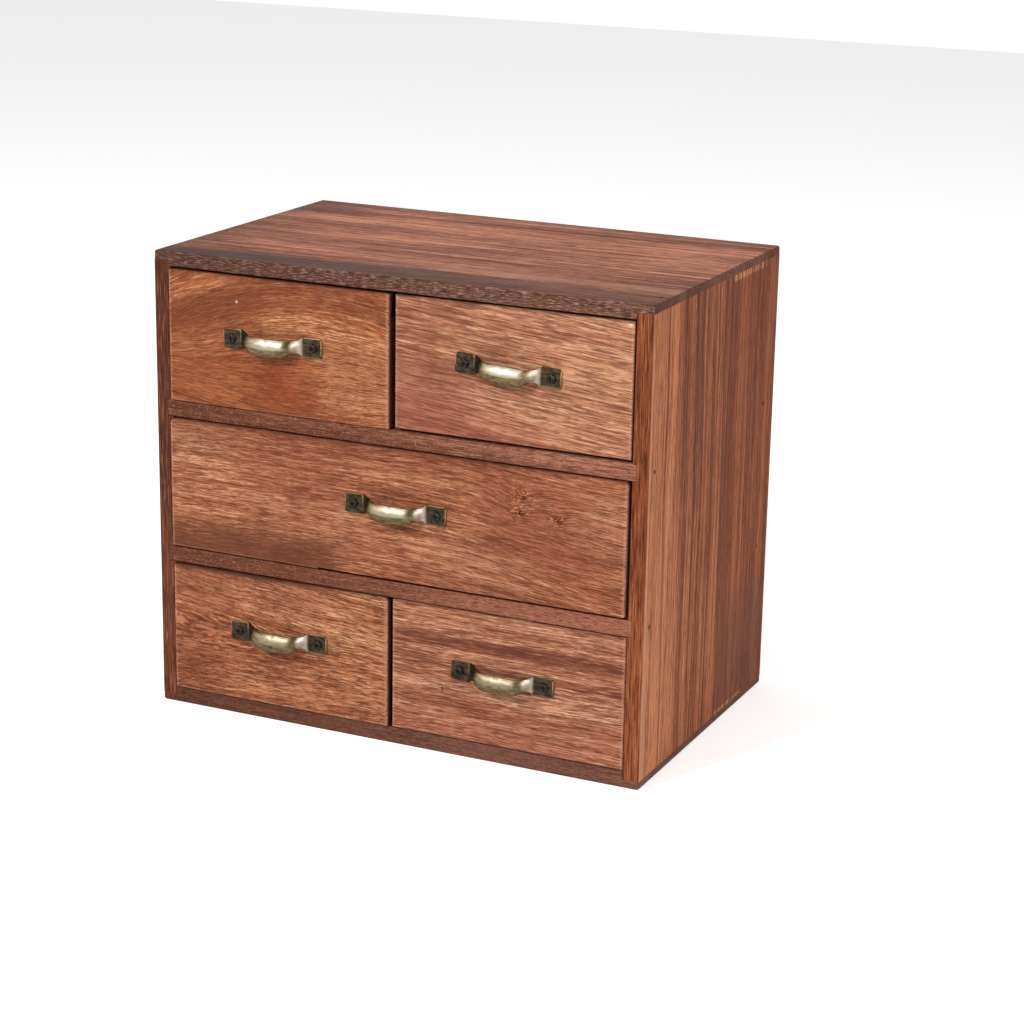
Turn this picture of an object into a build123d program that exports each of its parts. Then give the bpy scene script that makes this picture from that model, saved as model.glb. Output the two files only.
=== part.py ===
from build123d import *
import os
from collections import namedtuple

# Desktop cabinet with five small drawers, in millimetres.
# The origin is the middle of the case's underside. +X is the viewer's right, -Y the front
# that the drawers open to, and +Z up.

# ---- case -----------------------------------------------------------------------------
case_width = 254.0
case_height = 225.0
case_depth = 162.0
top_thickness = 7.0
bottom_thickness = 8.0
side_thickness = 8.0
shelf_thickness = 8.0
divider_thickness = 3.0
back_thickness = 3.0
lip = 4.0                 # wood that is left outside the rabbets, at the ends and at the back
dado_depth = 2.0          # shelves let into the sides
divider_groove = 2.0      # dividers let into the boards above and below them
divider_setback = 12.0    # from the case's front to the dividers
arris = 1.0               # rounding of the case's long edges
shelf_arris = 0.8
board_corner = 1.5        # plan rounding of the top and bottom boards' corners

# ---- drawers --------------------------------------------------------------------------
front_thickness = 8.0
front_lip = 4.0           # front left whole in front of the side walls
front_arris = 1.0
wall_thickness = 6.0
wall_height = 52.0
panel_thickness = 3.0     # drawer bottom
panel_raise = 4.0         # from the walls' lower edge up to the drawer bottom
panel_groove = 3.0        # drawer bottom let into the front and the walls
side_gap = 0.65           # from a drawer's walls to the side board or divider
run_gap = 0.3             # from the walls' lower edge to the board that they slide on
rear_gap = 0.5            # from the rear wall to the back panel when the drawer is home
relief_height = 0.9       # planed off the middle front's lower edge
relief_start = 80.0       # from that front's left end to the start of the planed stretch

# How each hand-fitted drawer sits in its bay. Side is -1 left, 0 the full width, 1 right.
# Gap is from the front up to the board above it and lift from the walls' lower edge up to
# the front's. Proud is how far the front stands before the case, shift is sideways. The
# laps are how far the front's ends go past the walls: outer at the case's side, inner at
# the divider. The pull's place is from the drawer's middle, its turn is in degrees.
Drawer = namedtuple(
    "Drawer", "name row side gap lift proud shift outer_lap inner_lap corner pull_x pull_z turn"
)
drawers = [
    Drawer("upper_left", 2, -1, 1.2, 0.0, 0.9, 0.3, 0.7, 0.0, 0.0, -2.2, 2.4, 0.0),
    Drawer("upper_right", 2, 1, 1.1, 1.1, 0.0, -0.2, 0.0, 0.8, 0.0, -1.8, 2.7, 2.8),
    Drawer("middle", 1, 0, 0.7, 0.5, 2.0, -0.3, 0.0, 0.0, 1.8, 3.3, 3.7, 0.6),
    Drawer("lower_left", 0, -1, 0.7, 0.0, 1.2, -0.2, 0.2, 0.5, 1.8, 0.5, 3.6, 0.0),
    Drawer("lower_right", 0, 1, 0.5, 0.0, 0.0, 0.0, 0.4, 1.8, 0.0, -2.5, 2.2, 1.3),
]

# ---- pulls ----------------------------------------------------------------------------
pull_sheet = 0.9
foot_size = 9.3
foot_corner = 1.6
screw_spacing = 43.0
bow_height = 9.0          # from the drawer front to the crown of the bow
bow_above = 2.9           # from the line through the screws up to the bow's straight top edge
bow_below = 5.6           # and down to its bellied bottom edge, both in the middle
bow_arch = 1.9            # how far the bow's long edges curl back in the middle
foot_run = 1.5            # flat sheet between a foot's inner edge and the bend corner
foot_bend = 2.5           # bend radii along the middle of the sheet
shoulder_bend = 7.0
crown_bend = 50.0
shoulder_reach = 6.4      # from a foot's inner edge to the shoulder's corner
shoulder_drop = 1.0       # from the crown down to the shoulder's corner
crown_rise = 0.4          # from the crown up to the middle corner, which the bend cuts off

# ---- fasteners ------------------------------------------------------------------------
screw_head = 4.2
screw_head_height = 1.3
screw_shank = 2.2
screw_length = 6.5
screw_point = 1.2
head_rounding = 0.75
recess_width = 2.2        # cross recess
recess_slot = 0.5
recess_depth = 0.7
brad_head = 2.0
brad_head_height = 0.6
brad_shank = 1.2
brad_sink = 0.5           # from the wood's surface down to the brad's head
case_brad_length = 25.0
back_brad_length = 12.0
drawer_brad_length = 16.0
top_brads_from_front = (18.0, 59.3)
top_brads_from_back = (62.3, 12.3)
shelf_brad_from_front = 7.0
shelf_brad_from_back = 15.0
back_brad_margin = 30.0
back_brad_rows = 4
back_brad_columns = 4
wall_brad_from_bottom = 14.0
wall_brad_from_top = 10.0

# Sections of each half of the bow: distance along the sheet from the foot's inner edge,
# reach above and below the line through the screws, and the curl of the long edges.
bow_sections = [
    (0.0, foot_size / 2, foot_size / 2, 0.0),
    (0.7, 4.4, 4.4, 0.0),
    (2.2, 3.4, 3.4, 0.3),
    (4.6, 2.8, 2.9, 0.9),
    (9.5, 2.9, 4.5, 1.5),
    (14.5, 2.9, 5.3, 1.8),
]

# ---- places that follow from the sizes above ------------------------------------------
front_y = -case_depth / 2
back_y = case_depth / 2
panel_y = back_y - back_thickness            # front face of the back panel
inner_x = case_width / 2 - side_thickness
end_x = case_width / 2 - lip                 # ends of the back panel
top_z = case_height - top_thickness
bay_height = (top_z - bottom_thickness - 2 * shelf_thickness) / 3
bay_step = bay_height + shelf_thickness
side_height = case_height - 2 * lip
inner_depth = panel_y - front_y
divider_y = front_y + divider_setback
divider_depth = panel_y - divider_y
half_sheet = pull_sheet / 2
half_gap = (screw_spacing - foot_size) / 2
crown = bow_height - half_sheet


def brads(surface, places, length):
    """Brads driven into a surface, whose plane looks out of the wood, at places on it."""
    with BuildPart() as row:
        with BuildSketch(surface.offset(-brad_sink)):
            with Locations(*places):
                Circle(brad_head / 2)
        extrude(amount=-brad_head_height)
        with BuildSketch(surface.offset(-brad_sink)):
            with Locations(*places):
                Circle(brad_shank / 2)
        extrude(amount=-length)
    return row.part


def brad_holes(surface, places, length):
    """The room that those brads take, with the open hole above each head."""
    with BuildPart() as holes:
        with BuildSketch(surface):
            with Locations(*places):
                Circle(brad_head / 2)
        extrude(amount=-brad_sink - brad_head_height)
        with BuildSketch(surface):
            with Locations(*places):
                Circle(brad_shank / 2)
        extrude(amount=-brad_sink - length)
    return holes.part


def save(part, name):
    part.label = name
    export_step(part, "parts/" + name + ".step")


os.makedirs("parts", exist_ok=True)

# ---- brads of the case ----------------------------------------------------------------
# The top and bottom boards are nailed into the ends of the sides, in the same four places.
end_places = []
for reach in top_brads_from_front:
    end_places.append(front_y + reach)
for reach in top_brads_from_back:
    end_places.append(back_y - reach)
side_middle = case_width / 2 - lip
over_sides = [(x, y) for x in (-side_middle, side_middle) for y in end_places]
top_surface = Plane.XY.offset(case_height)
under_surface = Plane(origin=(0, 0, 0), x_dir=(1, 0, 0), z_dir=(0, 0, -1))
under_sides = [(x, -y) for x, y in over_sides]
top_brads = brads(top_surface, over_sides, case_brad_length)
top_holes = brad_holes(top_surface, over_sides, case_brad_length)
bottom_brads = brads(under_surface, under_sides, case_brad_length)
bottom_holes = brad_holes(under_surface, under_sides, case_brad_length)

# Each shelf end has one brad near the front and one near the back panel.
left_surface = Plane(origin=(-case_width / 2, 0, 0), x_dir=(0, -1, 0), z_dir=(-1, 0, 0))
right_surface = Plane(origin=(case_width / 2, 0, 0), x_dir=(0, 1, 0), z_dir=(1, 0, 0))
shelf_places = []
for row in (1, 2):
    shelf_middle = bottom_thickness + row * bay_step - shelf_thickness / 2
    shelf_places.append((front_y + shelf_brad_from_front, shelf_middle))
    shelf_places.append((back_y - shelf_brad_from_back, shelf_middle))
mirrored_places = [(-y, z) for y, z in shelf_places]
left_brads = brads(left_surface, mirrored_places, case_brad_length)
right_brads = brads(right_surface, shelf_places, case_brad_length)
left_holes = brad_holes(left_surface, mirrored_places, case_brad_length)
right_holes = brad_holes(right_surface, shelf_places, case_brad_length)

# The back panel is nailed all round, in the middle of the wood that it covers.
back_surface = Plane(origin=(0, back_y, 0), x_dir=(-1, 0, 0), z_dir=(0, 1, 0))
over_side_x = (inner_x + end_x) / 2
over_top_z = (top_z + case_height - lip) / 2
over_bottom_z = (bottom_thickness + lip) / 2
brad_rise = (case_height - 2 * back_brad_margin) / (back_brad_rows - 1)
brad_spread = (case_width - 2 * back_brad_margin) / (back_brad_columns - 1)
back_places = []
for number in range(back_brad_rows):
    height = back_brad_margin + number * brad_rise
    back_places += [(-over_side_x, height), (over_side_x, height)]
for number in range(back_brad_columns):
    reach = back_brad_margin + number * brad_spread - case_width / 2
    back_places += [(reach, over_bottom_z), (reach, over_top_z)]
panel_brads = brads(back_surface, back_places, back_brad_length)
panel_holes = brad_holes(back_surface, back_places, back_brad_length)

# ---- top and bottom boards ------------------------------------------------------------
# Both run the full width. Rabbets under their ends take the sides and one along the back
# takes the back panel, so that only the lip shows outside.
with BuildPart() as top_board:
    with BuildSketch(Plane.XY.offset(top_z)):
        RectangleRounded(case_width, case_depth, board_corner)
    extrude(amount=top_thickness)
    fillet(top_board.faces().sort_by(Axis.Z)[-1].edges(), arris)
    fillet(top_board.faces().sort_by(Axis.Z)[0].edges().sort_by(Axis.Y)[0], shelf_arris)
    with BuildSketch(Plane.XY.offset(top_z)):
        with Locations((-case_width / 2 + side_thickness / 2, 0), (case_width / 2 - side_thickness / 2, 0)):
            Rectangle(side_thickness, case_depth)
        with Locations((0, back_y - back_thickness / 2)):
            Rectangle(2 * end_x, back_thickness)
    extrude(amount=top_thickness - lip, mode=Mode.SUBTRACT)
    with BuildSketch(Plane.XY.offset(top_z)):
        with Locations((0, divider_y + divider_depth / 2)):
            Rectangle(divider_thickness, divider_depth)
    extrude(amount=divider_groove, mode=Mode.SUBTRACT)
    add(top_holes, mode=Mode.SUBTRACT)
    add(panel_holes, mode=Mode.SUBTRACT)
save(top_board.part, "top_board")

with BuildPart() as bottom_board:
    with BuildSketch(Plane.XY):
        RectangleRounded(case_width, case_depth, board_corner)
    extrude(amount=bottom_thickness)
    fillet(bottom_board.faces().sort_by(Axis.Z)[0].edges(), arris)
    fillet(bottom_board.faces().sort_by(Axis.Z)[-1].edges().sort_by(Axis.Y)[0], shelf_arris)
    with BuildSketch(Plane.XY.offset(bottom_thickness)):
        with Locations((-case_width / 2 + side_thickness / 2, 0), (case_width / 2 - side_thickness / 2, 0)):
            Rectangle(side_thickness, case_depth)
        with Locations((0, back_y - back_thickness / 2)):
            Rectangle(2 * end_x, back_thickness)
    extrude(amount=lip - bottom_thickness, mode=Mode.SUBTRACT)
    with BuildSketch(Plane.XY.offset(bottom_thickness)):
        with Locations((0, divider_y + divider_depth / 2)):
            Rectangle(divider_thickness, divider_depth)
    extrude(amount=-divider_groove, mode=Mode.SUBTRACT)
    add(bottom_holes, mode=Mode.SUBTRACT)
    add(panel_holes, mode=Mode.SUBTRACT)
save(bottom_board.part, "bottom_board")

# ---- sides ----------------------------------------------------------------------------
# Dadoes on the inner face, open to the front, take the shelves. A rabbet takes the panel.
for name, hand, holes in (("left_side", -1, left_holes), ("right_side", 1, right_holes)):
    with BuildPart() as side:
        with BuildSketch(Plane.XY.offset(lip)):
            with Locations((hand * (case_width - side_thickness) / 2, 0)):
                Rectangle(side_thickness, case_depth)
        extrude(amount=side_height)
        fillet(side.edges().filter_by(Axis.Z), arris)
        with BuildSketch(Plane.XY.offset(lip)):
            with Locations((hand * (inner_x + end_x) / 2, back_y - back_thickness / 2)):
                Rectangle(end_x - inner_x, back_thickness)
        extrude(amount=side_height, mode=Mode.SUBTRACT)
        for row in (1, 2):
            with BuildSketch(Plane.XY.offset(bottom_thickness + row * bay_step - shelf_thickness)):
                with Locations((hand * (inner_x + dado_depth / 2), front_y + inner_depth / 2)):
                    Rectangle(dado_depth, inner_depth)
            extrude(amount=shelf_thickness, mode=Mode.SUBTRACT)
        add(holes, mode=Mode.SUBTRACT)
        add(top_holes, mode=Mode.SUBTRACT)
        add(bottom_holes, mode=Mode.SUBTRACT)
        add(panel_holes, mode=Mode.SUBTRACT)
    save(side.part, name)

# ---- shelves --------------------------------------------------------------------------
# Each has the groove for a divider on the face that looks at the half-width drawers.
for name, row, groove_side in (("lower_shelf", 1, -1), ("upper_shelf", 2, 1)):
    underside = bottom_thickness + row * bay_step - shelf_thickness
    with BuildPart() as shelf:
        with BuildSketch(Plane.XY.offset(underside)):
            with Locations((0, front_y + inner_depth / 2)):
                Rectangle(2 * (inner_x + dado_depth), inner_depth)
        extrude(amount=shelf_thickness)
        fillet(shelf.edges().filter_by(Axis.X).group_by(Axis.Y)[0], shelf_arris)
        grooved_face = underside if groove_side < 0 else underside + shelf_thickness
        with BuildSketch(Plane.XY.offset(grooved_face)):
            with Locations((0, divider_y + divider_depth / 2)):
                Rectangle(divider_thickness, divider_depth)
        extrude(amount=-groove_side * divider_groove, mode=Mode.SUBTRACT)
        add(left_holes, mode=Mode.SUBTRACT)
        add(right_holes, mode=Mode.SUBTRACT)
    save(shelf.part, name)

# ---- dividers and back panel ----------------------------------------------------------
for name, row in (("lower_divider", 0), ("upper_divider", 2)):
    with BuildPart() as divider:
        with BuildSketch(Plane.XY.offset(bottom_thickness + row * bay_step - divider_groove)):
            with Locations((0, divider_y + divider_depth / 2)):
                Rectangle(divider_thickness, divider_depth)
        extrude(amount=bay_height + 2 * divider_groove)
    save(divider.part, name)

with BuildPart() as back_panel:
    with BuildSketch(Plane.XY.offset(lip)):
        with Locations((0, back_y - back_thickness / 2)):
            Rectangle(2 * end_x, back_thickness)
    extrude(amount=side_height)
    add(panel_holes, mode=Mode.SUBTRACT)
save(back_panel.part, "back_panel")

# ---- the case's brads -----------------------------------------------------------------
with BuildPart() as shelf_brads:
    add(left_brads)
    add(right_brads)
save(top_brads, "top_board_brads")
save(bottom_brads, "bottom_board_brads")
save(shelf_brads.part, "shelf_brads")
save(panel_brads, "back_panel_brads")

# ---- pull and its screws --------------------------------------------------------------
# Modelled once, lying on XY with x along the pull, y up and z out to the viewer. The pull is
# two flat feet and a waisted bow of arched section, one sheet thickness all over.
screw_places = [(-screw_spacing / 2, 0), (screw_spacing / 2, 0)]
with BuildPart() as pull:
    with BuildSketch():
        with Locations(*screw_places):
            RectangleRounded(foot_size, foot_size, foot_corner)
        with Locations((foot_size / 4 - screw_spacing / 2, 0), (screw_spacing / 2 - foot_size / 4, 0)):
            Rectangle(foot_size / 2, foot_size)
        with Locations(*screw_places):
            Circle(screw_shank / 2, mode=Mode.SUBTRACT)
    extrude(amount=pull_sheet)
    with BuildLine(Plane.XZ):
        bow = FilletPolyline(
            (-half_gap, half_sheet),
            (foot_run - half_gap, half_sheet),
            (shoulder_reach - half_gap, crown - shoulder_drop),
            (0, crown + crown_rise),
            (half_gap - shoulder_reach, crown - shoulder_drop),
            (half_gap - foot_run, half_sheet),
            (half_gap, half_sheet),
            radius=(foot_bend, shoulder_bend, crown_bend, shoulder_bend, foot_bend),
        )
    half_sections = [*bow_sections, (bow.length / 2, bow_above, bow_below, bow_arch)]
    far_sections = [(bow.length - reach, *shape) for reach, *shape in bow_sections]
    for reach, above, below, arch in half_sections + far_sections[::-1]:
        across = Plane(
            origin=bow @ (reach / bow.length),
            x_dir=(0, 1, 0),
            z_dir=bow % (reach / bow.length),
        )
        with BuildSketch(across):
            ridge = (above - below) / 2
            outside = half_sheet - arch
            inside = -half_sheet - arch
            with BuildLine():
                if arch:
                    ThreePointArc((-below, outside), (ridge, half_sheet), (above, outside))
                else:
                    Line((-below, outside), (above, outside))
                Line((above, outside), (above, inside))
                if arch:
                    ThreePointArc((above, inside), (ridge, -half_sheet), (-below, inside))
                else:
                    Line((above, inside), (-below, inside))
                Line((-below, inside), (-below, outside))
            make_face()
    loft()
    split(bisect_by=Plane.XY, keep=Keep.TOP)

# Pan heads with a cross recess on plain pointed shanks.
with BuildPart() as screws:
    with BuildSketch(Plane.XY.offset(pull_sheet)):
        with Locations(*screw_places):
            Circle(screw_head / 2)
    extrude(amount=screw_head_height)
    fillet(screws.edges().filter_by(GeomType.CIRCLE).group_by(Axis.Z)[-1], head_rounding)
    with BuildSketch(Plane.XY.offset(pull_sheet)):
        with Locations(*screw_places):
            Circle(screw_shank / 2)
    extrude(amount=-screw_length + screw_point)
    with BuildSketch(Plane.XY.offset(pull_sheet + screw_head_height)):
        with Locations(*screw_places):
            Rectangle(recess_width, recess_slot)
            Rectangle(recess_slot, recess_width)
    extrude(amount=-recess_depth, mode=Mode.SUBTRACT)

# ---- drawers --------------------------------------------------------------------------
half_bay = inner_x - divider_thickness / 2
for drawer in drawers:
    bay_width = half_bay if drawer.side else 2 * inner_x
    middle = drawer.side * (divider_thickness + half_bay) / 2 + drawer.shift
    width = bay_width - 2 * side_gap
    left_lap = drawer.inner_lap if drawer.side > 0 else drawer.outer_lap
    right_lap = drawer.outer_lap if drawer.side > 0 else drawer.inner_lap
    left_end = middle - width / 2 - left_lap
    right_end = middle + width / 2 + right_lap
    face_y = front_y - drawer.proud
    floor_z = bottom_thickness + drawer.row * bay_step + run_gap
    height = bay_height - run_gap - drawer.lift - drawer.gap
    wall_y = face_y + front_lip
    rear_y = panel_y - rear_gap
    inner_width = width - 2 * wall_thickness
    inner_front = face_y + front_thickness
    inner_rear = rear_y - wall_thickness
    panel_z = floor_z + panel_raise
    panel_front = inner_front - panel_groove
    panel_depth = inner_rear + panel_groove - panel_front

    # Brads go through each wall into the front's tongue and into the rear wall.
    wall_ends = (wall_y + (front_thickness - front_lip) / 2, rear_y - wall_thickness / 2)
    heights = (floor_z + wall_brad_from_bottom, floor_z + wall_height - wall_brad_from_top)
    left_face = Plane(origin=(middle - width / 2, 0, 0), x_dir=(0, -1, 0), z_dir=(-1, 0, 0))
    right_face = Plane(origin=(middle + width / 2, 0, 0), x_dir=(0, 1, 0), z_dir=(1, 0, 0))
    left_places = [(-y, z) for y in wall_ends for z in heights]
    right_places = [(y, z) for y in wall_ends for z in heights]
    left_wall_holes = brad_holes(left_face, left_places, drawer_brad_length)
    right_wall_holes = brad_holes(right_face, right_places, drawer_brad_length)
    with BuildPart() as box_brads:
        add(brads(left_face, left_places, drawer_brad_length))
        add(brads(right_face, right_places, drawer_brad_length))
    save(box_brads.part, drawer.name + "_drawer_brads")

    # Where the pull's underside lies on the front.
    front_middle_z = floor_z + drawer.lift + height / 2
    seat = Plane(
        origin=(middle + drawer.pull_x, face_y, front_middle_z + drawer.pull_z),
        x_dir=Vector(1, 0, 0).rotate(Axis.Y, drawer.turn),
        z_dir=(0, -1, 0),
    )

    # Front: a board with a rabbet at each end for the walls and a groove for the bottom.
    with BuildPart() as front:
        with BuildSketch(Plane.XY.offset(floor_z + drawer.lift)):
            with Locations(((left_end + right_end) / 2, face_y + front_thickness / 2)):
                Rectangle(right_end - left_end, front_thickness)
        extrude(amount=height)
        if drawer.corner:
            fillet(front.edges().filter_by(Axis.Y).group_by(Axis.Z)[-1], drawer.corner)
        fillet(front.faces().sort_by(Axis.Y)[0].edges(), front_arris)
        for hand, end in ((-1, left_end), (1, right_end)):
            wall_inside = middle + hand * inner_width / 2
            with BuildSketch(Plane.XY.offset(floor_z)):
                with Locations(((wall_inside + end) / 2, (wall_y + inner_front) / 2)):
                    Rectangle(abs(end - wall_inside), front_thickness - front_lip)
            extrude(amount=drawer.lift + height, mode=Mode.SUBTRACT)
        with BuildSketch(Plane.XY.offset(panel_z)):
            with Locations((middle, inner_front - panel_groove / 2)):
                Rectangle(inner_width + 2 * panel_groove, panel_groove)
        extrude(amount=panel_thickness, mode=Mode.SUBTRACT)
        if drawer.name == "middle":
            relief_width = width - relief_start
            with BuildSketch(Plane.XY.offset(floor_z + drawer.lift)):
                with Locations((middle + (width - relief_width) / 2, face_y + front_thickness / 2)):
                    Rectangle(relief_width, front_thickness)
            extrude(amount=relief_height, mode=Mode.SUBTRACT)
        with BuildSketch(seat):
            with Locations(*screw_places):
                Circle(screw_shank / 2)
        extrude(amount=pull_sheet - screw_length, mode=Mode.SUBTRACT)
        add(left_wall_holes, mode=Mode.SUBTRACT)
        add(right_wall_holes, mode=Mode.SUBTRACT)
    save(front.part, drawer.name + "_front")

    # Side walls: from the front's lip to the back, grooved inside for the bottom.
    for name, hand, holes in (("left_wall", -1, left_wall_holes), ("right_wall", 1, right_wall_holes)):
        with BuildPart() as wall:
            with BuildSketch(Plane.XY.offset(floor_z)):
                with Locations((middle + hand * (width - wall_thickness) / 2, (wall_y + rear_y) / 2)):
                    Rectangle(wall_thickness, rear_y - wall_y)
            extrude(amount=wall_height)
            with BuildSketch(Plane.XY.offset(panel_z)):
                with Locations((middle + hand * (inner_width + panel_groove) / 2, (wall_y + rear_y) / 2)):
                    Rectangle(panel_groove, rear_y - wall_y)
            extrude(amount=panel_thickness, mode=Mode.SUBTRACT)
            add(holes, mode=Mode.SUBTRACT)
        save(wall.part, drawer.name + "_" + name)

    with BuildPart() as rear_wall:
        with BuildSketch(Plane.XY.offset(floor_z)):
            with Locations((middle, rear_y - wall_thickness / 2)):
                Rectangle(inner_width, wall_thickness)
        extrude(amount=wall_height)
        with BuildSketch(Plane.XY.offset(panel_z)):
            with Locations((middle, inner_rear + panel_groove / 2)):
                Rectangle(inner_width, panel_groove)
        extrude(amount=panel_thickness, mode=Mode.SUBTRACT)
        add(left_wall_holes, mode=Mode.SUBTRACT)
        add(right_wall_holes, mode=Mode.SUBTRACT)
    save(rear_wall.part, drawer.name + "_rear_wall")

    # Bottom: a thin panel in the grooves of all four boards round it.
    with BuildPart() as bottom:
        with BuildSketch(Plane.XY.offset(panel_z)):
            with Locations((middle, panel_front + panel_depth / 2)):
                Rectangle(inner_width + 2 * panel_groove, panel_depth)
        extrude(amount=panel_thickness)
    save(bottom.part, drawer.name + "_bottom")

    save(pull.part.moved(seat.location), drawer.name + "_pull")
    save(screws.part.moved(seat.location), drawer.name + "_pull_screws")
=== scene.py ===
import math

import bpy
from mathutils import Matrix, Vector


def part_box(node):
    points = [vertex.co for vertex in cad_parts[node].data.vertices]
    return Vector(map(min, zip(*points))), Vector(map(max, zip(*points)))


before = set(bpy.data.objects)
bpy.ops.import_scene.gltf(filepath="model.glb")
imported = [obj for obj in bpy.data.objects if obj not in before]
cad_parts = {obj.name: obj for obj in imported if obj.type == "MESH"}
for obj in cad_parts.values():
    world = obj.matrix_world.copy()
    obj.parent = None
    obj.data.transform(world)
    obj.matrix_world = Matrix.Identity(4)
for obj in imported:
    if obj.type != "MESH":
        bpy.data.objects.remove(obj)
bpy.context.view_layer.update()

# ---- camera ---------------------------------------------------------------------------
# It stands to the right of the cabinet and looks a little down on it, as the photograph's
# did. The place comes from the cabinet's corners: angles in degrees, lengths in mm.
camera_turn = 24.905
camera_height = 16.579
camera_roll = 1.037
camera_reach = 1259.471
aim = Vector((0, 0, 115))
aim_right = 21.028
aim_down = 20.879
lens_px = 2571.786
frame_px = 1024
sensor_mm = 36
farthest_seen_m = 20

turn, lift, roll = (math.radians(angle) for angle in (camera_turn, camera_height, camera_roll))
back = Vector((math.sin(turn) * math.cos(lift), -math.cos(turn) * math.cos(lift), math.sin(lift)))
level = Vector((0, 0, 1)).cross(back).normalized()
upright = back.cross(level)
right = level * math.cos(roll) + upright * math.sin(roll)
up = upright * math.cos(roll) - level * math.sin(roll)
place = aim + right * aim_right - up * aim_down + back * camera_reach

bpy.ops.object.camera_add()
camera = bpy.context.object
camera.name = "camera"
camera.data.sensor_width = sensor_mm
camera.data.lens = lens_px * sensor_mm / frame_px
camera.data.clip_end = farthest_seen_m
turned = Matrix((right, up, back)).transposed().to_4x4()
camera.matrix_world = Matrix.Translation(place / 1000) @ turned
bpy.context.scene.camera = camera
bpy.context.scene.view_settings.view_transform = "Standard"


# ---- floor, backdrop and light --------------------------------------------------------
# A white sweep. A small softbox high at the front left gives the main light, a wide one hangs
# overhead and a third stands at the right. The floor glows a little, so shadows stay light.
class Wire:
    """An output in a material's nodes. Arithmetic on wires adds Math nodes."""

    def __init__(self, socket, tree):
        self.socket = socket
        self.tree = tree

    def node(self, kind, inputs=None, out=0, stops=None, **settings):
        """Adds a node with its settings and ramp stops, then its inputs, and gives an output."""
        node = self.tree.nodes.new(kind)
        for name, value in settings.items():
            setattr(node, name, value)
        if stops:
            elements = node.color_ramp.elements
            while len(elements) < len(stops):
                elements.new(0.5)
            for element, (position, colour) in zip(elements, stops):
                element.position = position
                element.color = colour
        for key, value in (inputs or {}).items():
            if isinstance(value, Wire):
                self.tree.links.new(value.socket, node.inputs[key])
            else:
                node.inputs[key].default_value = value
        return Wire(node.outputs[out], self.tree)

    def math(self, operation, *values):
        return self.node("ShaderNodeMath", dict(enumerate(values)), operation=operation)

    def __add__(self, other):
        return self.math("ADD", self, other)

    def __radd__(self, other):
        return self.math("ADD", other, self)

    def __sub__(self, other):
        return self.math("SUBTRACT", self, other)

    def __rsub__(self, other):
        return self.math("SUBTRACT", other, self)

    def __mul__(self, other):
        return self.math("MULTIPLY", self, other)

    def __rmul__(self, other):
        return self.math("MULTIPLY", other, self)

    def __truediv__(self, other):
        return self.math("DIVIDE", self, other)

    def square(self):
        return self.math("MULTIPLY", self, self)

    def step(self, low, high):
        """0 below low and 1 above high, smooth between; the other way round if low > high."""
        return self.node(
            "ShaderNodeMapRange",
            {0: self, 1: low, 2: high, 3: 0.0, 4: 1.0},
            interpolation_type="SMOOTHSTEP",
        )

    def mix(self, first, second):
        """From the first colour to the second as this wire goes from 0 to 1."""
        return self.node(
            "ShaderNodeMix", {0: self, 6: first, 7: second}, out=2, data_type="RGBA"
        )


floor_reach = 6.0
floor_white = (0.92, 0.92, 0.92, 1)
floor_glow = 0.45
white = (1, 1, 1, 1)

bpy.ops.object.select_all(action="DESELECT")
bpy.ops.mesh.primitive_plane_add(size=floor_reach, location=(0, 0, 0))
floor = bpy.context.object
floor.name = "floor"
floor_paint = bpy.data.materials.new("floor_paint")
floor_paint.use_nodes = True
floor_tree = floor_paint.node_tree
floor_shader = floor_tree.nodes["Principled BSDF"]
floor_shader.inputs["Base Color"].default_value = floor_white
floor_shader.inputs["Roughness"].default_value = 0.9
floor_shader.inputs["Specular IOR Level"].default_value = 0.1
floor_shader.inputs["Emission Color"].default_value = white
camera_ray = Wire(None, floor_tree).node("ShaderNodeLightPath")
glow = camera_ray * floor_glow
floor_tree.links.new(glow.socket, floor_shader.inputs["Emission Strength"])
floor.data.materials.append(floor_paint)

# The backdrop is full white where it's seen or mirrored, and lights the cabinet less.
ambient = 0.36
world = bpy.data.worlds.new("studio")
world.use_nodes = True
bpy.context.scene.world = world
backdrop = world.node_tree.nodes["Background"]
ray_kinds = Wire(None, world.node_tree).node("ShaderNodeLightPath").socket.node.outputs
seen = Wire(ray_kinds["Is Camera Ray"], world.node_tree)
for kind in ("Is Glossy Ray", "Is Transmission Ray"):
    seen = seen.math("MAXIMUM", seen, Wire(ray_kinds[kind], world.node_tree))
strength = ambient + seen * (1.0 - ambient)
backdrop.inputs["Color"].default_value = white
world.node_tree.links.new(strength.socket, backdrop.inputs["Strength"])

lit_spot = Vector((0, 0, 0.1))


def softbox(name, spot, size, power):
    """A square area lamp at a spot, in metres, that faces the cabinet."""
    bpy.ops.object.light_add(type="AREA", location=spot)
    lamp = bpy.context.object
    lamp.name = name
    lamp.data.size = size
    lamp.data.energy = power
    lamp.rotation_euler = (lit_spot - Vector(spot)).to_track_quat("-Z", "Y").to_euler()


softbox("front_softbox", (-0.75, -1.8, 1.4), size=0.4, power=35)
softbox("top_softbox", (0.2, 0.1, 1.7), size=1.4, power=6)
softbox("side_softbox", (2.0, -0.6, 0.9), size=1.0, power=18)


# ---- stained wood, from the top board on ------------------------------------------------
# Every board of the case is a coarse-pored hardwood with a reddish brown stain, charred in
# places, then sanded so that the edges show pale. Grain is laid on each board in layers.
def new_material(name):
    """A material, its shader node and its place on the piece as three wires in mm."""
    material = bpy.data.materials.new(name)
    material.use_nodes = True
    tree = material.node_tree
    shader = tree.nodes["Principled BSDF"]
    start = Wire(None, tree)
    spot = start.node("ShaderNodeTexCoord", out=3)
    parts = start.node("ShaderNodeSeparateXYZ", {0: spot}).socket.node
    axes = [Wire(parts.outputs[number], tree) * 1000 for number in range(3)]
    return material, shader, axes


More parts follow.
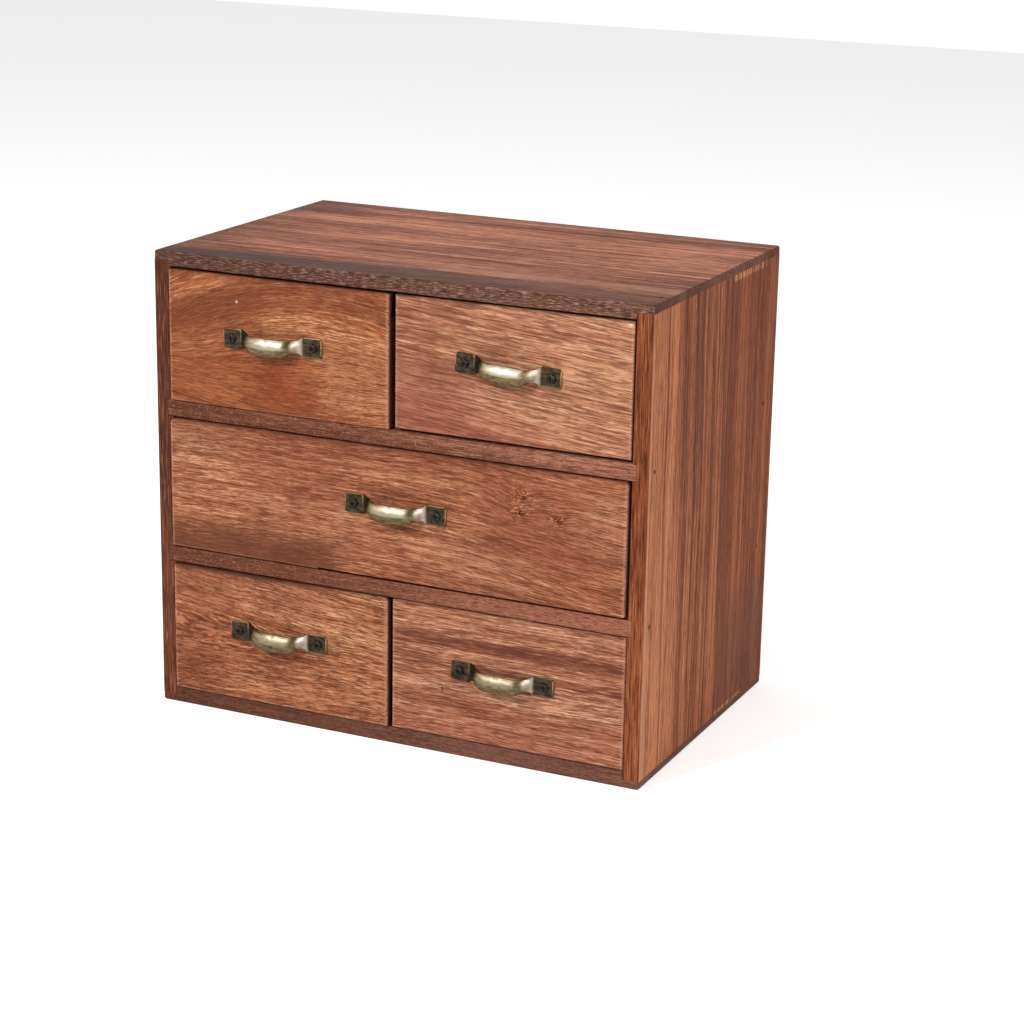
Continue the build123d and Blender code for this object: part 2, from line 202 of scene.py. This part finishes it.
def paint(rgb):
    """A colour written as it looks, 0 to 255, as the linear colour that shaders take."""
    linear = []
    for value in rgb:
        value = value / 255
        linear.append(value / 12.92 if value <= 0.04045 else ((value + 0.055) / 1.055) ** 2.4)
    return (*linear, 1.0)


def noise(axes, sizes, seed, detail=3.0, roughness=0.5, distortion=0.0):
    """Noise whose blotches are about as long, in mm, as the sizes along the three axes."""
    places = [axis / size + seed for axis, size in zip(axes, sizes)]
    spot = axes[0].node("ShaderNodeCombineXYZ", dict(enumerate(places)))
    return axes[0].node(
        "ShaderNodeTexNoise",
        {"Vector": spot, "Scale": 1.0, "Detail": detail, "Roughness": roughness,
         "Distortion": distortion},
    )


def band(place, low, high, soft):
    """1 between low and high, fading to 0 over the soft distance outside them."""
    return place.step(low - soft, low) * place.step(high + soft, high)


def hill(across, along, across_reach, along_reach):
    """1 in the middle of an oval spot, falling to nothing outside it."""
    far = (across / across_reach).square() + (along / along_reach).square()
    return far.math("EXPONENT", far * -1)


def dress(node, material):
    """Puts a material on a solid of the frame."""
    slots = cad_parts[node].data.materials
    slots.clear()
    slots.append(material)


class Wood:
    """One board's wood. u runs along the grain and v across it, in mm in the frame. Each noise
    starts at a place of its own, which is the board's seed plus a number. The sizes of the
    blotches run along the grain, across it and into the board."""

    drift_size = (130, 24, 30)
    figure_size = (120, 15, 18)
    hair_size = (8, 0.55, 0.8)
    stain_size = (26, 4, 6)
    crowd_size = (40, 9, 9)
    streak_depth = 3.4
    relief_depth = 0.00025

    def __init__(self, name, along, across, seed, wander=6.0):
        self.material, self.shader, axes = new_material(name)
        self.x, self.y, self.z = axes
        deep = ({"x", "y", "z"} - {along, across}).pop()
        self.u, self.v, self.w = (axes["xyz".index(letter)] for letter in (along, across, deep))
        self.seed = seed
        drift = noise([self.u, self.v, self.w], self.drift_size, seed, 2.0)
        self.v = self.v + (drift - 0.5) * wander

    def grain(self, tones, broad=1.4, streak=1.2, fine=0.9, shade=0.0, streak_size=2.4,
              streak_length=70):
        """Lays the stain's tones, dark to pale, over the figure. Shade moves the whole tone."""
        place = [self.u, self.v, self.w]
        wide = noise(place, self.figure_size, self.seed + 11, 3.0, 0.55)
        streak_place = (streak_length, streak_size, self.streak_depth)
        self.streaks = noise(place, streak_place, self.seed + 23, 4.0, 0.7)
        self.hairs = noise(place, self.hair_size, self.seed + 51, 2.0, 0.6)
        tone = (wide - 0.5) * broad + (self.streaks - 0.5) * streak + (self.hairs - 0.5) * fine
        tone = tone + 0.5 + shade
        stops = [(number / (len(tones) - 1), paint(rgb)) for number, rgb in enumerate(tones)]
        self.colour = tone.node("ShaderNodeValToRGB", {0: tone}, stops=stops)

    def lay(self, mask, rgb):
        """Glazes the colour over the wood where the mask is 1."""
        self.colour = mask.mix(self.colour, paint(rgb))

    def patch(self, across, along, rgb, strength, soft=6.0):
        """A ragged stain over a stretch across the grain and one along it, both in mm."""
        ragged = noise([self.u, self.v, self.w], self.stain_size, self.seed + 71, 4.0, 0.6) - 0.5
        ragged_along, ragged_across = ragged * 30, ragged * 9
        mask = band(self.u + ragged_along, along[0], along[1], soft * 1.6)
        mask = mask * band(self.v + ragged_across, across[0], across[1], soft)
        self.lay(mask * (self.streaks.step(0.3, 0.65) * 0.9 + 0.35) * strength, rgb)

    def pores(self, length, strength, rgb, cut=0.55, width=0.6):
        """Dark dashes, long and short, where stain has settled in the open pores."""
        place = [self.u, self.v, self.w]
        dashes = noise(place, (length, width, width * 1.3), self.seed + 37, 2.0, 0.6)
        specks = noise(place, (length * 0.4, width * 0.8, width), self.seed + 61, 1.0)
        crowd = (noise(place, self.crowd_size, self.seed + 43, 2.0) - 0.5) * 0.2
        self.holes = (dashes + crowd).step(cut - 0.02, cut + 0.06)
        small = (specks + crowd).step(cut + 0.03, cut + 0.11)
        self.holes = self.holes.math("MAXIMUM", self.holes, small * 0.8)
        self.lay(self.holes * strength, rgb)

    def finish(self, nodes, gloss=0.52):
        """Sets roughness and relief, and puts the wood on its boards."""
        links = self.material.node_tree.links
        rough = self.hairs * 0.2 + self.holes * 0.15 + (gloss - 0.1)
        relief = self.hairs * 0.5 - self.holes * 0.8 + self.streaks * 0.3
        bump = relief.node(
            "ShaderNodeBump", {"Height": relief, "Strength": 0.4, "Distance": self.relief_depth}
        )
        self.shader.inputs["Specular IOR Level"].default_value = 0.07
        links.new(self.colour.socket, self.shader.inputs["Base Color"])
        links.new(rough.socket, self.shader.inputs["Roughness"])
        links.new(bump.socket, self.shader.inputs["Normal"])
        for node in nodes:
            dress(node, self.material)


# Top board: grain runs the width a little slantwise, charred along the front and paler
# towards the back. The front edge is dark and scratched, and the lip over the sides carries
# a painted shadow low down.
top_tones = [(76, 38, 25), (118, 63, 42), (152, 88, 60), (200, 134, 100)]
charred = (54, 33, 27)
rubbed_stripe = (196, 146, 124)
rear_stain = (98, 60, 48)
left_stain = (92, 56, 44)
front_edge_stain = (84, 54, 43)
pale_scratch = (172, 134, 116)
dark_scratch = (48, 30, 25)
right_arris = (78, 46, 35)
painted_lip_shadow = (74, 46, 36)

top = Wood("top_board_wood", "x", "y", 5.3, wander=9)
slant = top.v + top.x * -0.05
pale_rear = band(slant, 6, 46, 10) * 0.2 + band(slant, -10, 2, 4) * 0.1
shade = pale_rear - band(slant, 58, 66, 3) * 0.12
shade = shade + band(top.x, -60, 90, 50) * 0.14 - band(slant, -34, -26, 4) * 0.08
top.grain(top_tones, 1.4, 3.6, 2.0, shade=shade - 0.08, streak_size=1.2, streak_length=130)
scorch = band(slant, -90, -64, 9) * (top.x.step(150, -150) * 0.6 + 0.5)
top.lay(scorch * (top.streaks * 1.0 + 0.45), charred)
top.lay(band(slant, -56, -50, 3) * top.x.step(-60, 60) * 0.35, rubbed_stripe)
top.lay(top.y.step(66, 82) * 0.5, rear_stain)
top.lay(top.x.step(-104, -128) * 0.4, left_stain)
top.pores(16, 0.5, (80, 48, 38), 0.56, 0.5)
front_edge = top.y.step(-79.4, -80.7)
top.lay(front_edge * 0.6, front_edge_stain)
scratches = noise([top.x, top.y, top.z], (4.0, 0.5, 0.32), 91, 3.0, 0.6)
more_at_right = top.x.step(-140, 60) * 0.25 + 0.4
top.lay(front_edge * scratches.step(0.52, 0.6) * more_at_right, pale_scratch)
top.lay(front_edge * scratches.step(0.46, 0.36) * 0.6, dark_scratch)
behind_front = band(top.y, -79, 80, 1)
top.lay(top.x.step(126.1, 126.8) * behind_front * 0.75, right_arris)
# Painted shadow on the lower part of the lip over the sides.
top.lay(top.z.step(221.4, 219.8) * behind_front * 0.6, painted_lip_shadow)
top.finish(["top_board"], 0.5)

# ---- sides ------------------------------------------------------------------------------
# Two boards with the grain upright, in long tan and dark stripes, nailed to the shelves. The
# back half is redder, and the upper and lower ends are worn pale there.
case_front = -81

# Each stripe is its middle in mm from the front edge, half its width, and how much it
# lightens or darkens the tone. Each ink line is a thin dark vein.
stripes = ((10, 9, 0.30), (21, 2, -0.10), (30, 7, 0.26), (45, 3, -0.12), (50, 4, 0.18),
           (56, 1.2, -0.14), (64, 1.2, -0.14), (73, 10, -0.06), (78, 1.2, -0.14),
           (86, 4, 0.16), (101, 7, -0.24), (117, 9, 0.0), (136, 9, -0.14), (146, 3, 0.04),
           (156, 4, -0.12))
ink_lines = (21, 45, 56, 64, 77, 92)
half_line = 0.5
brad_y = -74
brad_heights = (149, 77)
side_tones = [(76, 37, 21), (128, 70, 41), (164, 97, 61), (194, 128, 89)]
ink = (72, 37, 24)
red_stain = (138, 66, 32)
foot_stain = (104, 66, 50)
sanded_arris_and_highlight = (202, 148, 116)
worn_head = (214, 158, 112)
worn_foot = (206, 148, 100)
rear_arris = (58, 34, 24)
dark_thread = (54, 27, 18)
pale_thread = (182, 112, 74)
brad_hole = (52, 32, 26)

for name, hand, seed in (("left_side", -1, 8.9), ("right_side", 1, 17.3)):
    side = Wood(name + "_wood", "z", "y", seed, wander=7)
    from_front = side.v - case_front + (side.z - 112) * 0.02
    shade = side.z.step(215, 10) * 0.2 - 0.1
    for middle, half, change in stripes:
        shade = shade + band(from_front, middle - half, middle + half, half * 0.7 + 0.6) * change
    side.grain(side_tones, 0.7, 2.5, 1.2, shade=shade, streak_size=1.3, streak_length=210)
    for line in ink_lines:
        inked = band(from_front, line - half_line, line + half_line, 0.7)
        side.lay(inked * side.streaks.step(0.2, 0.5) * 0.45, ink)
    rear = band(from_front, 104, 170, 12)
    side.lay(rear * 0.3, red_stain)
    side.lay(rear * side.z.step(72, 40) * 0.5, foot_stain)
    side.pores(18, 0.55, (74, 38, 25), 0.56, 0.5)
    # The front arris of the outer face is sanded pale and carries a painted highlight.
    side.lay(band(from_front, -1, 2.2, 1.4) * side.y.step(-80.7, -80) * 0.5, sanded_arris_and_highlight)
    lip_wear = side.streaks.step(0.45, 0.6) * 0.8
    side.lay(side.z.step(217.5, 218.6) * band(from_front, 104, 142, 6) * lip_wear, worn_head)
    side.lay(side.z.step(6.4, 5.0) * band(from_front, 96, 128, 5) * lip_wear, worn_foot)
    side.lay(side.y.step(79.6, 80.6) * 0.6, rear_arris)
    # The front edge is redder on the right side and darker on the left one.
    edge = side.y.step(-80.2, -80.9)
    threads = noise([side.z, side.x, side.y], (14, 0.6, 0.6), seed + 5, 3.0, 0.65)
    if hand > 0:
        side.lay(edge * 0.9, (136, 74, 43))
        side.lay(edge * band(side.z, 95, 195, 30) * 0.5, (108, 52, 28))
    else:
        side.lay(edge * 0.95, (102, 58, 39))
        side.lay(edge * side.z.step(20, 150) * 0.6, (74, 40, 27))
    side.lay(edge * threads.step(0.5, 0.6) * 0.75, dark_thread)
    side.lay(edge * threads.step(0.44, 0.34) * 0.6, pale_thread)
    # The front one of the sunk brads at each shelf shows as a dark dot.
    for brad_z in brad_heights:
        dot = hill(side.y - brad_y, side.z - brad_z, 0.9, 0.9)
        side.lay(dot * 0.8, brad_hole)
    side.finish([name], 0.5)

# ---- shelves and bottom board -----------------------------------------------------------
# The same hardwood with level grain. Only their front edges show. Each row is the board, its
# seed, its darker stain at the left and its paler one at the right.
for name, seed, left, right in (
    ("upper_shelf", 23.1, (112, 66, 45), (160, 106, 83)),
    ("lower_shelf", 29.7, (118, 70, 49), (150, 95, 73)),
    ("bottom_board", 35.3, (102, 62, 46), (116, 77, 63)),
):
    shelf = Wood(name + "_wood", "x", "z", seed, wander=2)
    dark_left = [value * 0.72 for value in left]
    pale_right = [value * 1.16 for value in right]
    redder = shelf.x.step(-70, 60) * 0.34 - 0.22
    shelf.grain([dark_left, left, right, pale_right], 0.9, 0.9, 1.0, shade=redder,
                streak_size=1.2)
    speckle = noise([shelf.x, shelf.y, shelf.z], (1.6, 1.0, 0.5), seed + 3, 3.0, 0.65)
    shelf.lay(speckle.step(0.54, 0.66) * 0.5, [value * 1.2 for value in right])
    shelf.pores(4, 0.6, [value * 0.6 for value in left], 0.54, 0.5)
    shelf.finish([name], 0.55)

# ---- dividers and back panel ------------------------------------------------------------
# Thin plywood with the dark stain. The dividers hide behind the drawer fronts, and the panel
# closes the back.
ply = Wood("dark_plywood", "z", "y", 41.9)
ply.grain([(52, 30, 22), (74, 44, 32), (92, 56, 42)], 0.8, 0.6, 0.5)
ply.pores(6, 0.4, (40, 24, 18))
ply.finish(["upper_divider", "lower_divider"], 0.6)
panel = Wood("back_panel_wood", "x", "z", 43.7)
panel.grain([(60, 34, 25), (86, 52, 38), (108, 68, 50)], 1.0, 0.7, 0.5)
panel.pores(7, 0.4, (42, 25, 19))
panel.finish(["back_panel"], 0.6)

# ---- drawer fronts ----------------------------------------------------------------------
# Five boards from different planks, so each has a figure of its own. Grain runs the width,
# pores show as dark dashes, and the arrises are sanded pale with a painted highlight at the
# ends and a painted shadow along the top.
pore_stain = (92, 50, 34)
worn_end_and_highlight = (206, 150, 126)
top_shadow = (92, 54, 40)
sanded_foot = (190, 128, 104)
end_grain_and_gap_shade = (66, 38, 28)


def front_edges(board, node, pale=0.45):
    """Worn arrises: pale at both ends, with a painted highlight there, and pale along the foot.
    A painted shadow runs along the top, and the end faces behind them are darker, end grain
    with painted shade from the gaps."""
    low, high = (corner * 1000 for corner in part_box(node))
    ends = board.x.step(low.x + 1.8, low.x + 0.5)
    ends = ends.math("MAXIMUM", ends, board.x.step(high.x - 1.8, high.x - 0.5))
    wear = board.hairs.step(0.3, 0.6)
    side_face = ends * board.y.step(low.y + 0.9, low.y + 1.6)
    # Pale worn ends, with a painted highlight on them.
    board.lay(ends * wear * pale, worn_end_and_highlight)
    top_line = board.z.step(high.z - 1.3, high.z - 0.4)
    foot_line = board.z.step(low.z + 1.3, low.z + 0.4)
    board.lay(top_line * 0.35, top_shadow)
    board.lay(foot_line * wear * pale * 0.8, sanded_foot)
    # The end faces behind the arrises are darker: end grain, and painted shade from the gaps.
    board.lay(side_face * 0.8, end_grain_and_gap_shade)


# Upper left: orange brown, its grain arched over a point by the pull's right foot, with a
# white fleck above the left foot.
front = Wood("upper_left_front_wood", "x", "z", 3.1, wander=5)
arch = (front.x + 39).square() * 0.0030
front.v = front.v + arch * front.z.step(162, 196) + arch * -0.4 * front.z.step(176, 156)
front.grain([(106, 52, 30), (144, 80, 48), (172, 107, 70), (204, 144, 102)], 0.8, 1.9, 1.5,
            shade=band(front.v, 191, 199, 4) * 0.16 + front.x.step(-60, -20) * 0.06 - 0.02,
            streak_size=2.0)
front.patch((196, 216), (-118, -72), (126, 64, 40), 0.5)
front.patch((156, 178), (-116, -30), (142, 74, 42), 0.55, 9)
front.patch((160, 176), (-68, -42), (136, 58, 30), 0.6, 4)
front.patch((162, 190), (-30, -2), (190, 134, 96), 0.4, 8)
front.patch((168, 186), (-50, -30), (182, 120, 78), 0.3)
front.patch((208, 217), (-118, -5), (118, 66, 46), 0.35)
front.pores(8, 0.75, pore_stain, 0.53, 0.5)
fleck = hill(front.x + 81.5, front.z - 205, 0.5, 0.5)
front.lay(fleck * 0.9, (232, 220, 206))
front_edges(front, "upper_left_front")
front.finish(["upper_left_front"])

# Upper right: straight grain that falls a little to the right, tan with a reddish left end
# and a chip at the upper right corner.
front = Wood("upper_right_front_wood", "x", "z", 12.7, wander=4)
front.v = front.v + front.x * 0.09
front.grain([(114, 62, 44), (152, 95, 70), (186, 130, 98), (216, 165, 130)], 0.7, 1.8, 1.5,
            shade=front.x.step(10, 70) * 0.12 - 0.01, streak_size=1.8)
front.patch((150, 186), (2, 34), (146, 82, 68), 0.5, 8)
front.patch((152, 170), (20, 70), (158, 92, 74), 0.35, 8)
front.patch((192, 204), (30, 116), (196, 144, 104), 0.35, 6)
front.pores(13, 0.7, (104, 60, 44), 0.53, 0.7)
chip = hill(front.x - 116.5, front.z - 215.5, 1.2, 0.6)
front.lay(chip * 0.9, (232, 214, 170))
front_edges(front, "upper_right_front")
front.finish(["upper_right_front"])

# Middle: falls a little to the right, with three small knots and a dark lower left corner.
# Each knot is its x, its z and its reach in mm.
knots = ((66.7, 132.0, 4.5), (65.2, 124.5, 4.0), (84.0, 123.0, 3.0))
knot_brown = (100, 44, 24)
knot_pale = (214, 148, 104)
knot_heart = (62, 28, 18)
dark_streak = (92, 44, 28)
front = Wood("middle_front_wood", "x", "z", 21.9, wander=6)
front.v = front.v + front.x.step(-20, 110) * (front.x + 20) * 0.07
for knot_x, knot_z, reach in knots:
    near = hill(front.x - knot_x, front.z - knot_z, reach * 2.4, reach * 1.6)
    front.v = front.v + near * 2.6
front.grain([(100, 50, 33), (142, 82, 56), (174, 112, 80), (208, 152, 114)], 0.9, 1.9, 1.6,
            shade=band(front.x, -118, -30, 30) * 0.04 + 0.04, streak_size=2.0)
front.patch((76, 90), (-130, -38), (92, 50, 33), 0.7, 12)
front.patch((138, 150), (-130, -90), (118, 68, 50), 0.4, 12)
front.patch((104, 130), (-70, -34), (142, 78, 54), 0.35, 8)
front.patch((110, 140), (54, 98), (136, 70, 48), 0.5, 8)
front.patch((90, 104), (20, 66), (190, 136, 102), 0.35, 8)
front.patch((126, 142), (100, 118), (186, 132, 100), 0.3, 8)
front.pores(9, 0.75, pore_stain, 0.53, 0.5)
for knot_x, knot_z, reach in knots:
    swirl = noise([front.x, front.z, front.y], (2.6, 1.3, 3), knot_x, 3.0, 0.6, 2.0)
    spot = hill(front.x - knot_x, front.z - knot_z, reach * 1.3, reach * 0.95)
    front.lay(spot * swirl.step(0.62, 0.44) * 0.95, knot_brown)
    front.lay(spot * swirl.step(0.5, 0.62) * 0.9, knot_pale)
    heart = hill(front.x - knot_x - 1.2, front.z - knot_z + 0.8, 1.9, 1.0)
    front.lay(heart * 0.85, knot_heart)
streak = hill(front.x - 60, front.z - 119 - (front.x - 60) * 0.5, 5.5, 1.2)
front.lay(streak * front.hairs.step(0.3, 0.6) * 0.7, dark_streak)
front_edges(front, "middle_front")
front.finish(["middle_front"])

# Lower left: orange tan with short dashes, redder at the left, charred along the top left.
front = Wood("lower_left_front_wood", "x", "z", 33.3, wander=5)
front.v = front.v + front.x * 0.10 * front.z.step(30, 52)
front.grain([(110, 56, 35), (150, 89, 58), (182, 120, 85), (212, 158, 118)], 0.8, 1.9, 1.6,
            shade=front.x.step(-110, -30) * 0.10 + 0.02, streak_size=2.0)
front.patch((48, 72), (-118, -88), (142, 76, 52), 0.45, 7)
front.patch((8, 30), (-119, -96), (136, 70, 46), 0.45, 7)
front.patch((54, 66), (-66, -40), (146, 84, 62), 0.35, 6)
front.pores(8, 0.85, pore_stain, 0.525, 0.5)
char = front.z.step(69.5, 72) * front.x.step(-10, -70)
front.lay(char * (front.streaks * 0.8 + 0.4), (74, 44, 34))
front_edges(front, "lower_left_front")
front.finish(["lower_left_front"])

# Lower right: level grain in dark and reddish bands, redder in the lower third, with one
# small dark dent at the left.
front = Wood("lower_right_front_wood", "x", "z", 47.1, wander=4)
shade = band(front.v, 54, 58, 1.6) * -0.3 - band(front.v, 43.5, 46, 1.4) * 0.22
shade = shade - band(front.v, 24, 28.6, 1.6) * 0.16 + band(front.v, 29.5, 36, 3) * 0.14
front.grain([(98, 52, 36), (142, 84, 60), (176, 118, 88), (212, 160, 128)], 0.5, 2.0, 1.7,
            shade=shade + band(front.v, 60, 72, 3) * 0.05 + 0.09, streak_size=1.6)
front.patch((8, 24), (2, 118), (164, 92, 68), 0.3, 6)
front.patch((54, 58), (2, 118), (98, 54, 42), 0.3, 2)
front.pores(12, 0.75, (92, 50, 36), 0.53, 0.5)
dent = hill(front.x - 26.9, front.z - 32.3, 0.6, 0.9)
front.lay(dent * 0.9, (60, 34, 26))
front_edges(front, "lower_right_front")
front.finish(["lower_right_front"])

# ---- drawer boxes -----------------------------------------------------------------------
# Softwood walls with a thin dark stain, grain level, and a plain thin plywood bottom.
rows = ("upper_left", "upper_right", "middle", "lower_left", "lower_right")
box_tones = [(76, 46, 32), (100, 62, 43), (124, 82, 58)]
box_pore = (58, 34, 24)
wall = Wood("drawer_wall_wood", "y", "z", 53.9)
wall.grain(box_tones, 0.9, 0.9, 0.5)
wall.pores(10, 0.3, box_pore, 0.6)
wall.finish([row + end for row in rows for end in ("_left_wall", "_right_wall")], 0.6)
rear = Wood("drawer_rear_wood", "x", "z", 57.1)
rear.grain(box_tones, 0.9, 0.9, 0.5)
rear.pores(10, 0.3, box_pore, 0.6)
rear.finish([row + "_rear_wall" for row in rows], 0.6)
floor_ply = Wood("drawer_bottom_plywood", "y", "x", 61.3)
floor_ply.grain([(184, 142, 96), (204, 164, 118), (220, 184, 140)], 1.1, 0.5, 0.3)
floor_ply.pores(5, 0.25, (160, 116, 76), 0.6)
floor_ply.finish([row + "_bottom" for row in rows], 0.55)

# ---- brads ------------------------------------------------------------------------------
# Steel wire nails, dulled and rusted in spots. Their heads are punched under the surface.
dull_steel = (126, 122, 116)
rust_brown = (74, 60, 50)
steel, shader, (x, y, z) = new_material("brad_steel")
rust = noise([x, y, z], (1.2, 1.2, 1.2), 67.0, 3.0)
steel_colour = rust.step(0.4, 0.7).mix(paint(dull_steel), paint(rust_brown))
shader.inputs["Metallic"].default_value = 0.9
steel.node_tree.links.new(steel_colour.socket, shader.inputs["Base Color"])
steel.node_tree.links.new((rust * 0.4 + 0.3).socket, shader.inputs["Roughness"])
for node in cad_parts:
    if node.endswith("brads"):
        dress(node, steel)

# ---- pulls ------------------------------------------------------------------------------
# Stamped brass sheet, antiqued dark, then rubbed bright along the top of the bow. Painted
# highlights lie there, along the ridge and on the right neck; painted shade darkens the left
# end and a painted dark reflection lies right of the middle.
foot_edge = 16.8
foot_middle = 21.5
foot_half = 4.65
brown_brass = (84, 71, 47)
olive_brass = (146, 128, 92)
rubbed_highlight_brass = (182, 173, 154)
glint_brass = (206, 194, 164)
dark_reflection_brass = (50, 42, 28)
neck_highlight_brass = (190, 181, 166)
left_end_shade_brass = (36, 29, 21)
dark_foot = (50, 42, 32)
pale_foot = (84, 73, 56)
worn_rim = (196, 164, 112)

# Each pull's lean in degrees, where its rubbed and painted highlight starts in mm from its
# middle, how bright that highlight is, and how dark the painted reflection patch is.
wear_and_light = {
    "upper_left": (0.0, -1.0, 0.85, 0.8),
    "upper_right": (2.8, -2.0, 1.0, 0.2),
    "middle": (0.6, -1.5, 0.7, 0.8),
    "lower_left": (0.0, -1.0, 0.35, 0.8),
    "lower_right": (1.3, -2.5, 0.3, 0.6),
}
for row, (lean, highlight_from, highlight_level, reflection_darkness) in wear_and_light.items():
    low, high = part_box(row + "_pull")
    middle = (low + high) * 500
    lean = math.radians(lean)
    brass, shader, (x, y, z) = new_material(row + "_pull_brass")
    along = (x - middle.x) * math.cos(lean) - (z - middle.z) * math.sin(lean)
    above = (x - middle.x) * math.sin(lean) + (z - middle.z) * math.cos(lean) - 0.5
    off = along.math("ABSOLUTE", along)
    ridge = above + off * -0.06
    on_foot = off.step(foot_edge - 1.0, foot_edge)
    seed = 71 + middle.x
    cloud = noise([along, above, y], (3, 1.6, 3), seed, 4.0, 0.6)
    rubs = noise([along, above, y], (5, 0.4, 0.6), seed + 9, 3.0, 0.6)
    speck = noise([along, above, y], (0.7, 0.5, 0.7), seed + 17, 2.0)

    olive = (cloud * 0.5 + rubs * 0.5).step(0.35, 0.62)
    colour = olive.mix(paint(brown_brass), paint(olive_brass))
    # The upper half of the bow is rubbed and carries a painted highlight of the light above.
    bright = ridge.step(-2.4, -0.6) * along.step(highlight_from - 11, highlight_from + 1)
    bright = bright * along.step(10.6, 7.6)
    rub_and_highlight = bright * (speck.step(0.3, 0.62) * 0.5 + 0.5) * highlight_level
    colour = rub_and_highlight.mix(colour, paint(rubbed_highlight_brass))
    # A painted glint along the ridge of the bow.
    painted_glint = band(ridge, -1.6, -1.1, 0.5) * along.step(-14, -4) * along.step(13, 9)
    colour = (painted_glint * 0.3 * highlight_level).mix(colour, paint(glint_brass))
    # A painted dark reflection right of the middle of the bow.
    patch = hill(along - 10.8, ridge - 1.0, 1.9, 3.0) * reflection_darkness
    colour = patch.mix(colour, paint(dark_reflection_brass))
    # A painted highlight on the right neck, broken by rub marks.
    neck_highlight = band(along, 13.2, 14.8, 1.7) * (rubs.step(0.25, 0.6) * 0.5 + 0.5)
    colour = neck_highlight.mix(colour, paint(neck_highlight_brass))
    # Painted shade on the left end, where the neck faces away.
    colour = (along.step(-9.5, -13.0) * 0.9).mix(colour, paint(left_end_shade_brass))

    foot_colour = cloud.step(0.35, 0.65).mix(paint(dark_foot), paint(pale_foot))
    colour = on_foot.mix(colour, foot_colour)
    foot_x = off - foot_middle
    rim = foot_x.math("MAXIMUM", foot_x, above.math("ABSOLUTE", above))
    rim = rim.step(foot_half - 0.65, foot_half - 0.15) * off.step(foot_edge - 0.2, foot_edge + 0.4)
    rim = rim * (above.step(-4.8, 2.0) * 0.7 + along.step(0, 20) * 0.3)
    inner_rim = band(along, -foot_edge - 0.1, -foot_edge + 0.1, 0.3) * above.step(-3.0, 5.0)
    rim = rim.math("MAXIMUM", rim, inner_rim * 0.7)
    colour = (rim * rubs.step(0.3, 0.55) * 0.9).mix(colour, paint(worn_rim))

    rough = 0.34 + cloud * 0.2 + on_foot * 0.12
    bump = cloud.node(
        "ShaderNodeBump", {"Height": rubs * 0.4 + cloud * 0.6, "Strength": 0.3, "Distance": 0.0002}
    )
    shader.inputs["Metallic"].default_value = 1.0
    links = brass.node_tree.links
    links.new(colour.socket, shader.inputs["Base Color"])
    links.new(rough.socket, shader.inputs["Roughness"])
    links.new(bump.socket, shader.inputs["Normal"])
    dress(row + "_pull", brass)

# ---- pull screws ------------------------------------------------------------------------
# Two small pan-head screws with a cross recess hold each pull. They are blackened steel, a
# little scuffed.
black_steel = (38, 34, 30)
scuffed_steel = (96, 88, 78)
black, shader, (x, y, z) = new_material("blackened_screws")
scuff = noise([x, y, z], (1.0, 0.6, 0.6), 83.0, 3.0)
black_colour = scuff.step(0.5, 0.75).mix(paint(black_steel), paint(scuffed_steel))
shader.inputs["Metallic"].default_value = 0.8
black.node_tree.links.new(black_colour.socket, shader.inputs["Base Color"])
black.node_tree.links.new((scuff * 0.3 + 0.3).socket, shader.inputs["Roughness"])
for row in rows:
    dress(row + "_pull_screws", black)
